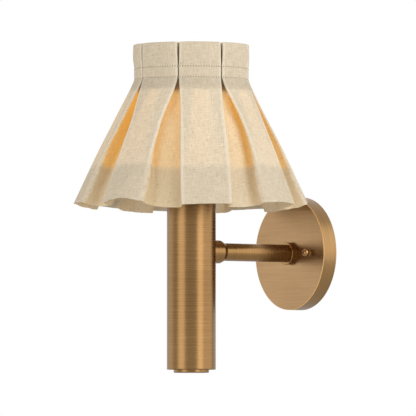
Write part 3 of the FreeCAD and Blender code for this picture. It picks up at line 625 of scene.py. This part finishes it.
def pleat_section(level, table):
    """The folds at one level. For every column: its place across from its panel's middle, its
    depth behind the panel, its place on the flat cloth, where its recess starts behind the panel,
    and half its panel's width."""
    pleat, side, part, share = table
    pitch = PLEAT_STEP * mean_radius(level) / 2

    # how far the pleats have opened, draw in at the top edge, round at the hem, pinch and tuck
    opened = smooth_step(level, 0, 60)
    mouth = smooth_step(-level, STITCH_UP + 1, RUFFLE)
    soften = edge_value(SOFTEN, table) * smooth_step(level, 70, 140)
    pinch = smooth_step(level, 8, 55) * (1 - smooth_step(level, 85, 135))
    tucked = smooth_step(level, 10, 60) * (1 - 0.75 * smooth_step(level, 80, 130))

    # half a panel's width, half a recess's and the two bends; the fold's side takes what is left
    panel = HALF_PANEL + PANEL_SPREAD * smooth_step(level, 20, 130) - 0.35 * mouth
    panel = panel + pleat_value(PLEAT_FALL, pleat) * smooth_step(level, 15, 70)
    panel = panel - edge_value(PINCH, table) * pinch - 0.7 * soften
    closed = (pitch + HALF_PLEAT - math.pi * (OUTER_BEND + INNER_BEND)) / 2 - HALF_PANEL
    recess = min(closed - 0.12 - 0.2 * mouth, HALF_RECESS) - 1.2 * opened - 0.3 * soften
    recess = recess + edge_value(TUCK, table) * tucked
    bend_out = OUTER_BEND + 0.3 * opened + soften
    bend_in = INNER_BEND + 1.5 * opened + 0.35 * soften
    straight = HALF_PLEAT - panel - recess
    angle = fold_angle(pitch - panel - recess, straight, bend_out, bend_in)
    run = straight - (bend_out + bend_in) * angle

    # the five parts of half a pleat, in their order
    turn_out, turn_in = share * angle, (1 - share) * angle
    side_start = bend_out * (1 - np.cos(angle))
    side_end = side_start + run * np.sin(angle)
    across = (share * panel,
              panel + bend_out * np.sin(turn_out),
              panel + bend_out * np.sin(angle) + share * run * np.cos(angle),
              panel + (bend_out + bend_in) * np.sin(angle) + run * np.cos(angle)
              - bend_in * np.sin(turn_in),
              pitch - (1 - share) * recess)
    depth = (np.zeros_like(share),
             bend_out * (1 - np.cos(turn_out)),
             side_start + share * run * np.sin(angle),
             side_end + bend_in * (np.cos(turn_in) - np.cos(angle)),
             recess_floor(side_end + bend_in * (1 - np.cos(angle)), table))
    flat = (share * panel,
            panel + bend_out * turn_out,
            panel + bend_out * angle + share * run,
            panel + bend_out * angle + run + bend_in * share * angle,
            HALF_PLEAT - (1 - share) * recess)
    part = part.astype(int)
    return (side * np.choose(part, across), np.choose(part, depth),
            side * np.choose(part, flat), pitch - recess, panel)


def cloth_row(level, table):
    """One level of the hanging cloth. For every column: radius, angle, how far it is lifted, place
    on the flat cloth, where its recess starts and half its panel's width."""
    pleat, side, part, share = table
    nominal = mean_radius(level)
    across, depth, laid, cover, panel = pleat_section(level, table)
    reach = np.abs(across)
    inside = np.clip(reach / np.maximum(panel, 1), 0, 1)
    fall = max(0.0, level) / BODY

    # a pleat's swing and turn blend into the next pleat's across the recess between them
    beyond = np.clip((reach - panel) / np.maximum(PLEAT_STEP * nominal / 2 - panel, 1), 0, 1) / 2
    following = pleat + np.where(side > 0, 1, -1)

    def blended(values):
        return pleat_value(values, pleat) * (1 - beyond) + pleat_value(values, following) * beyond

    angle = FIRST_PLEAT + pleat * PLEAT_STEP + across / nominal
    angle = angle + np.radians(blended(PLEAT_TURN)) * fall

    # panels fall flatter than the round of the shade, and their edges curl out
    chord = nominal * (1 / np.cos(np.clip(reach, 0, panel) / nominal) - 1)
    chord = chord * np.where(part < FOLD_SIDE, 1, np.where(part == FOLD_SIDE, 1 - share, 0))
    curl = 0.5 * np.exp(-((1 - inside) * 5) ** 2) * np.where(part < FOLD_SIDE, 1, 0.4)
    ripple = wave(angle, RIPPLE_COUNTS, (0.4 + 2.2 * fall, 1.9 - 3.1 * fall, 4.0), RIPPLE_WEIGHTS)
    frill = wave(angle, FRILL_COUNTS, (0.3, 1.1), FRILL_WEIGHTS)
    radius = nominal + blended(PLEAT_SWING) * fall ** 1.3 - depth
    radius = radius + 0.55 * smooth_step(level, 10, 110) * chord
    radius = radius + 1.3 * ripple * smooth_step(level, 8, 70) + curl * smooth_step(level, 25, 90)
    radius = radius + 0.25 * frill * smooth_step(-level, 13, 24)

    # the stitches draw the canvas in, and a panel's middle bulges and lifts at the hem
    for row in STITCH_ROWS:
        radius = radius - 0.25 * math.exp(-((level - row) / 1.5) ** 2)
    crown = np.where(part == ON_PANEL, 1 - inside ** 2, 0.0)
    radius = radius + pleat_value(PLEAT_BULGE, pleat) * crown * smooth_step(level, 60, BODY)
    lift = pleat_value(PLEAT_LIFT, pleat) * crown * smooth_step(level, 95, BODY)
    return radius, angle, lift, pleat * 2 * HALF_PLEAT + laid, cover, panel


def hanging_cloth(levels, table):
    """Right side of the canvas at each level: places, flat widths and edges of the folds."""
    rows = [cloth_row(level, table) for level in levels]
    radius, theta, lift, flat, cover, panel = (np.array(values) for values in zip(*rows))
    x, y = radius * np.cos(theta), radius * np.sin(theta)
    run = np.diff(levels)[:, None]
    slip = np.diff(x, axis=0) ** 2 + np.diff(y, axis=0) ** 2
    drop = np.sqrt(np.maximum(run ** 2 - slip, (0.5 * run) ** 2))
    z = np.vstack([np.zeros((1, x.shape[1])), -np.cumsum(drop, axis=0)])
    z = z - z[np.searchsorted(levels, 0.0)][None, :] + WAIST_Z + lift
    return np.stack([x, y, z], axis=-1), flat, cover, panel


def surface_normals(places):
    """Unit normals out of the shade's right side."""
    along = np.empty_like(places)
    along[:, 1:-1] = places[:, 2:] - places[:, :-2]
    along[:, 0] = along[:, -1] = places[:, 1] - places[:, -2]
    normal = np.cross(np.gradient(places, axis=0), along)
    return normal / np.maximum(np.linalg.norm(normal, axis=-1, keepdims=True), 1e-9)


def level_rows():
    """Rows of the strip from the facing's edge, over the top, down and round to the hem's edge:
    level of each, and how far it is inside the right side."""
    top, foot = -RUFFLE + 0.9, BODY - 0.8
    facing = [(level, CLOTH) for level in np.linspace(FACING_END, top, 15)]
    top_fold = [(-RUFFLE + 0.3, CLOTH * 0.9), (-RUFFLE, CLOTH / 2), (-RUFFLE + 0.3, CLOTH * 0.1)]
    header = [(level, 0.0) for level in np.linspace(top, 0, 20)]
    body = [(level, 0.0) for level in np.linspace(0, foot, 49)[1:]]
    hem_fold = [(BODY - 0.25, CLOTH * 0.15), (BODY, CLOTH * 0.6), (BODY - 0.25, CLOTH * 1.05)]
    hem = [(level, CLOTH * 1.25) for level in np.linspace(foot, HEM_TOP, 11)]
    return facing + top_fold + header + body + hem_fold + hem


def canvas_rows(table):
    """The strip row by row: places in millimetres, flat places, and the edges of its folds."""
    rows = level_rows()
    levels = np.unique(np.round([level for level, _ in rows] + [0.0], 4))
    places, flat, cover, panel = hanging_cloth(levels, table)
    normals = surface_normals(places)
    facts = []
    down = 0.0
    before = rows[0][0]
    for level, inset in rows:
        index = int(np.argmin(np.abs(levels - level)))
        down += max(abs(level - before), 0.25)
        before = level
        facts.append({"level": level, "inset": inset, "down": down,
                      "places": places[index] - inset * normals[index],
                      "flat": flat[index], "cover": cover[index], "panel": panel[index]})
    return facts


# ---------------------------------------------------------------- canvas shade: its canvas

# Lamp light that comes through the canvas, at its brightest: in a recess, in the deep side of a
# fold, through the single layer in the middle of a panel, and through a fold of the hem.
RECESS_GLOW = np.array((0.32, 0.225, 0.115))
FOLD_GLOW = np.array((0.36, 0.165, 0.012))
PANEL_GLOW = np.array((0.092, 0.046, 0.015))
HEM_GLOW = np.array((0.20, 0.155, 0.095))
LAMP_NEAR = 62                            # canvas this far from the lamp has the whole glow

CANVAS_DARK = (0.50, 0.415, 0.295)
CANVAS_PALE = (0.72, 0.610, 0.455)
CANVAS_YARN_AND_HIGHLIGHT = (0.86, 0.78, 0.64)          # pale thick yarns, and a painted highlight on a crease
CANVAS_FOLD_SHADE = (0.42, 0.29, 0.13)          # painted shade deep in a fold
SEED = (0.10, 0.065, 0.03)                # flecks of seed husk in the yarn
SEED_GLOW = (0.02, 0.01, 0.0)
SEED_CELLS = (250, 290, 1)
SEED_RARITY, SEED_SIZE = 0.86, 0.12
WARP, WEFT = (1050, 120), (120, 1050)     # scales across and down the strip
THICK_WARP, THICK_WEFT = (800, 50), (45, 800)
THICK_FROM, THICK_TO = 0.60, 0.80         # where a yarn starts to be a slub, and is one
TONE_CLOUDS = (30, 12)
WEAVE_RELIEF = (0.55, 0.5 * MM)           # strength and depth


def fold_share(table, low, spread, most):
    """A share that is most on a fold's side and fades across the recess to the share listed for
    each edge; it sets a fold's deep glow and its painted shade.
    """
    part, share = table[2:]
    least = low + spread * edge_value(FOLD_GLOW_AND_SHADE_REACH, table)
    fading = least + (most - least) * (1 - smooth_step(share, 0.0, 0.40))
    on_side = (part == FOLD_SIDE) | (part == INNER_FOLD)
    return np.where(on_side, most, np.where(part == IN_RECESS, fading, 0.0))


def lamp_light_through(table, row):
    """Colour of the lamp's light that comes through the canvas to each vertex of a row."""
    _, _, part, share = table
    on_panel, bending = part == ON_PANEL, part == OUTER_FOLD
    level = row["level"]
    behind = smooth_step(share * row["panel"], row["cover"] - 5.0, row["cover"] + 1.0)
    deep = fold_share(table, 0.05, 0.45, 1.0)[:, None]
    fold = RECESS_GLOW * (1 - deep) + FOLD_GLOW * deep
    fold = fold * np.where(bending, smooth_step(share, 0.35, 1.0), 1.0)[:, None]
    light = np.where(on_panel[:, None], (1 - behind)[:, None] * PANEL_GLOW, fold)
    distance = np.linalg.norm(row["places"] - np.array((0.0, 0.0, LAMP.z / MM)), axis=1)
    near = (0.45 * (LAMP_NEAR / distance) ** 2 + 0.70) * edge_value(GLOW, table)
    veil = smooth_step(level, FACING_END - 1.5, FACING_END + 5)
    hem = smooth_step(level, HEM_TOP - 3.0, HEM_TOP + 1.0)
    inner = np.where(on_panel, 0.0, np.where(bending, 0.4 * share, 0.7))[:, None] * HEM_GLOW
    return light * (near * veil * (1 - hem))[:, None] + inner * hem


def crease(table, level):
    """How strongly each column's crease catches the light; soft folds lose it at the hem."""
    part, share = table[2:]
    crest_highlight = np.where(part == ON_PANEL, smooth_step(share, 0.93, 1.0), 0.0)
    crest_highlight = np.where(part == OUTER_FOLD, 1 - smooth_step(share, 0.15, 0.6), crest_highlight)
    return crest_highlight * (1 - 0.9 * smooth_step(level, 75, 120) * (edge_value(SOFTEN, table) > 1))


def painted_layer_shade(level):
    """Painted light and shade by level: how light the canvas is made at a level, by the layers
    that lie behind it and the lamp's light that they let through.
    """
    tone = 0.93 - 0.11 * smooth_step(level, -2, 1)
    tone = tone + 0.18 * smooth_step(level, FACING_END - 0.8, FACING_END + 0.8)
    return tone - 0.08 * smooth_step(level, HEM_TOP - 0.8, HEM_TOP + 0.8)


def canvas_shade(table, rows):
    """The pleated canvas as one sheet, with its flat places and its colours on its vertices: the
    lamp's glow, and a painted highlight and painted shade.
    """
    columns = table.shape[1]
    bm = bmesh.new()
    bmesh.ops.create_grid(bm, x_segments=columns - 1, y_segments=len(rows) - 1, size=0.5)
    glow = bm.verts.layers.float_color.new("glow")
    # The finish layer holds painted light: crease highlights, shade by layers and shade deep in
    # folds.
    finish = bm.verts.layers.float_color.new("finish")
    laid = bm.loops.layers.uv.new("flat")
    light = [lamp_light_through(table, row) for row in rows]
    crest_highlights = [crease(table, row["level"]) for row in rows]
    layer_shades = [painted_layer_shade(row["level"]) for row in rows]
    # Painted shade deep in the folds, and across the recess beside them.
    fold_shade = fold_share(table, 0.10, 0.60, 0.8)
    bm.verts.index_update()
    order = {}
    for vertex in bm.verts:
        column = round((vertex.co.x + 0.5) * (columns - 1))
        row = round((vertex.co.y + 0.5) * (len(rows) - 1))
        order[vertex.index] = (column, row)
    for face in bm.faces:
        for loop in face.loops:
            column, row = order[loop.vert.index]
            loop[laid].uv = (rows[row]["flat"][column] * MM, rows[row]["down"] * MM)
    for vertex in bm.verts:
        column, row = order[vertex.index]
        x, y, z = rows[row]["places"][column]
        vertex.co = (x * MM, COLUMN_Y + y * MM, z * MM)
        vertex[glow] = (*light[row][column], 1)
        vertex[finish] = (crest_highlights[row][column], layer_shades[row], fold_shade[column], 1)
    bmesh.ops.remove_doubles(bm, verts=bm.verts, dist=1e-7)
    bmesh.ops.recalc_face_normals(bm, faces=bm.faces)
    item = piece("pleated_canvas", bm)
    thick = item.modifiers.new("thickness", "SOLIDIFY")
    thick.thickness = CLOTH * 0.9 * MM
    thick.offset = 0
    item.data.materials.append(canvas_cloth())
    return item


def yarns(nodes, links, flat, scale, *detail):
    """Noise stretched along the flat cloth; the scales are across and down the strip."""
    return noise(nodes, links, stretched(nodes, links, flat, (*scale, 1)), 1.0, *detail)


def canvas_weave():
    """Plain weave of uneven yarns on the flat cloth: thread heights, slubs and seed flecks."""
    tree, inside, outside = group("canvas_weave", [("Flat", VECTOR)],
                                  [("Height", FLOAT), ("Slub", FLOAT), ("Fleck", FLOAT)])
    nodes, links = tree.nodes, tree.links
    flat = inside.outputs["Flat"]
    height = math_node(nodes, links, "ADD", yarns(nodes, links, flat, WARP, 2.0, 0.6),
                       yarns(nodes, links, flat, WEFT, 2.0, 0.6))
    links.new(height, outside.inputs["Height"])
    thick = math_node(nodes, links, "MAXIMUM", yarns(nodes, links, flat, THICK_WARP, 1.0),
                      yarns(nodes, links, flat, THICK_WEFT, 1.0))
    slub = nodes.new("ShaderNodeMapRange")
    slub.inputs["From Min"].default_value = THICK_FROM
    slub.inputs["From Max"].default_value = THICK_TO
    links.new(thick, slub.inputs["Value"])
    links.new(slub.outputs[0], outside.inputs["Slub"])
    spots = nodes.new("ShaderNodeTexVoronoi")
    spots.inputs["Scale"].default_value = 1.0
    links.new(stretched(nodes, links, flat, SEED_CELLS), spots.inputs["Vector"])
    seed = nodes.new("ShaderNodeSeparateColor")
    links.new(spots.outputs["Color"], seed.inputs[0])
    rare = math_node(nodes, links, "GREATER_THAN", seed.outputs[0], SEED_RARITY)
    near = math_node(nodes, links, "LESS_THAN", spots.outputs["Distance"], SEED_SIZE)
    fleck = math_node(nodes, links, "MULTIPLY", rare, near)
    links.new(math_node(nodes, links, "MULTIPLY", fleck, 0.8), outside.inputs["Fleck"])
    return tree


def attribute(nodes, name):
    """Colour held on the vertices."""
    node = nodes.new("ShaderNodeAttribute")
    node.attribute_name = name
    return node.outputs["Color"]


def canvas_cloth():
    """Coarse natural canvas; the lamp's light through its layers comes from the glow values, and
    its painted crease highlight and painted shade come from the finish values.
    """
    material, nodes, links, shader = new_material("oatmeal_canvas")

    def laid_over(colour, mask, strength, over):
        share = math_node(nodes, links, "MULTIPLY", mask, strength)
        return mix_colour(nodes, links, share, colour, over)

    flat = nodes.new("ShaderNodeUVMap")
    flat.uv_map = "flat"
    weave = placed(nodes, canvas_weave())
    links.new(flat.outputs[0], weave.inputs["Flat"])
    parts = nodes.new("ShaderNodeSeparateColor")
    # The finish values are painted light: crease highlight, shade by layers, shade deep in folds.
    links.new(attribute(nodes, "finish"), parts.inputs[0])
    crest_highlight, weight, fold_shade = parts.outputs
    broad = yarns(nodes, links, flat.outputs[0], TONE_CLOUDS, 3.0)
    tone = scaled(nodes, links, weave.outputs["Height"], 1.35,
                  math_node(nodes, links, "MULTIPLY", broad, 0.35))
    tone = math_node(nodes, links, "SUBTRACT", tone, 1.03, clamp=True)
    colour = mix_colour(nodes, links, tone, CANVAS_DARK, CANVAS_PALE)
    colour = laid_over(colour, weave.outputs["Slub"], 0.28, CANVAS_YARN_AND_HIGHLIGHT)
    # Painted shade: the canvas is darkened deep in the folds.
    colour = laid_over(colour, fold_shade, 0.75, CANVAS_FOLD_SHADE)
    # Painted highlight along the creases.
    colour = laid_over(colour, crest_highlight, 0.38, CANVAS_YARN_AND_HIGHLIGHT)
    colour = mix_colour(nodes, links, weave.outputs["Fleck"], colour, SEED)
    # weight dims the colour by level: painted light and shade by the layers behind the canvas.
    links.new(dimmed(nodes, links, colour, weight), shader.inputs["Base Color"])
    shader.inputs["Roughness"].default_value = 0.92
    shader.inputs["Specular IOR Level"].default_value = 0.15
    threads = scaled(nodes, links, tone, 0.4, 0.8)
    shine = dimmed(nodes, links, attribute(nodes, "glow"), threads)
    shine = mix_colour(nodes, links, weave.outputs["Fleck"], shine, SEED_GLOW)
    links.new(shine, shader.inputs["Emission Color"])
    shader.inputs["Emission Strength"].default_value = 1.0
    relief(nodes, links, shader, weave.outputs["Height"], *WEAVE_RELIEF)
    return material


# ---------------------------------------------------------------- canvas shade: its stitches

STITCHES = 136                            # in a row
HOLE_SIZE = (0.52, 0.56, 0.42)            # half sizes along the row, up and out
THREAD_SIZE = (0.74, 0.50, 0.48)
# Dark beads stand in for the shade in the needle holes: painted shade.
HOLE_SHADE_COLOUR = (0.085, 0.058, 0.030)
THREAD_COLOUR = (0.80, 0.72, 0.56)
HEADER_START = 18                         # first row of the strip below the top fold
STITCH_REACH = 0.03                       # a stitch lies on the highest canvas in this angle


def bead(bm, radius, angle, z, size):
    """One flat bead that faces out of the shade."""
    along_size, up_size, out_size = size
    made = bmesh.ops.create_uvsphere(bm, u_segments=6, v_segments=4, radius=1)["verts"]
    out = Vector((math.cos(angle), math.sin(angle), 0))
    along = Vector((-math.sin(angle), math.cos(angle), 0))
    for vertex in made:
        x, y, height = vertex.co
        place = out * (radius + x * out_size) + along * (height * along_size)
        vertex.co = Vector((place.x * MM, COLUMN_Y + place.y * MM, (z + y * up_size) * MM))


def stitched_row(bm, rows, height, size, offset):
    """Beads all round the folded header, on the cloth's right side."""
    row = min(rows[HEADER_START:],
              key=lambda entry: abs(entry["level"] - height) + 9 * entry["inset"])
    places = row["places"]
    angles = np.arctan2(places[:, 1], places[:, 0])
    radii = np.linalg.norm(places[:, :2], axis=1)
    for number in range(STITCHES):
        angle = (number + offset) * 2 * math.pi / STITCHES
        away = np.abs((angles - angle + math.pi) % (2 * math.pi) - math.pi)
        near = away < STITCH_REACH
        radius = radii[near].max() if near.any() else radii[np.argmin(away)]
        z = places[np.argmin(away), 2] + 0.1 * math.sin(number * 2.3)
        bead(bm, radius + CLOTH / 2, angle, z, size)


def stitch_rows(rows, name, colour, size, offset):
    """Both rows of needle holes as dark beads of painted shade, or both rows of thread between
    them.
    """
    bm = bmesh.new()
    for height in STITCH_ROWS:
        stitched_row(bm, rows, height, size, offset)
    bmesh.ops.recalc_face_normals(bm, faces=bm.faces)
    item = piece(name, bm)
    material, _, _, shader = new_material(name)
    item.data.materials.append(material)
    shader.inputs["Base Color"].default_value = (*colour, 1)
    shader.inputs["Roughness"].default_value = 0.85
    return item


# ---------------------------------------------------------------- the scene

dress_brass()
dress_hardware()
cloth_table = column_table()
cloth_rows = canvas_rows(cloth_table)
cloth = canvas_shade(cloth_table, cloth_rows)
needle_hole_shade = stitch_rows(cloth_rows, "needle_hole_shade", HOLE_SHADE_COLOUR, HOLE_SIZE, 0.0)
stitches = stitch_rows(cloth_rows, "stitches", THREAD_COLOUR, THREAD_SIZE, 0.5)
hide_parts("canvas_shade")
for item in (cloth, needle_hole_shade, stitches):
    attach(item, "shade")

camera()
soft_boxes()
lamp_light()
surroundings()
floor()
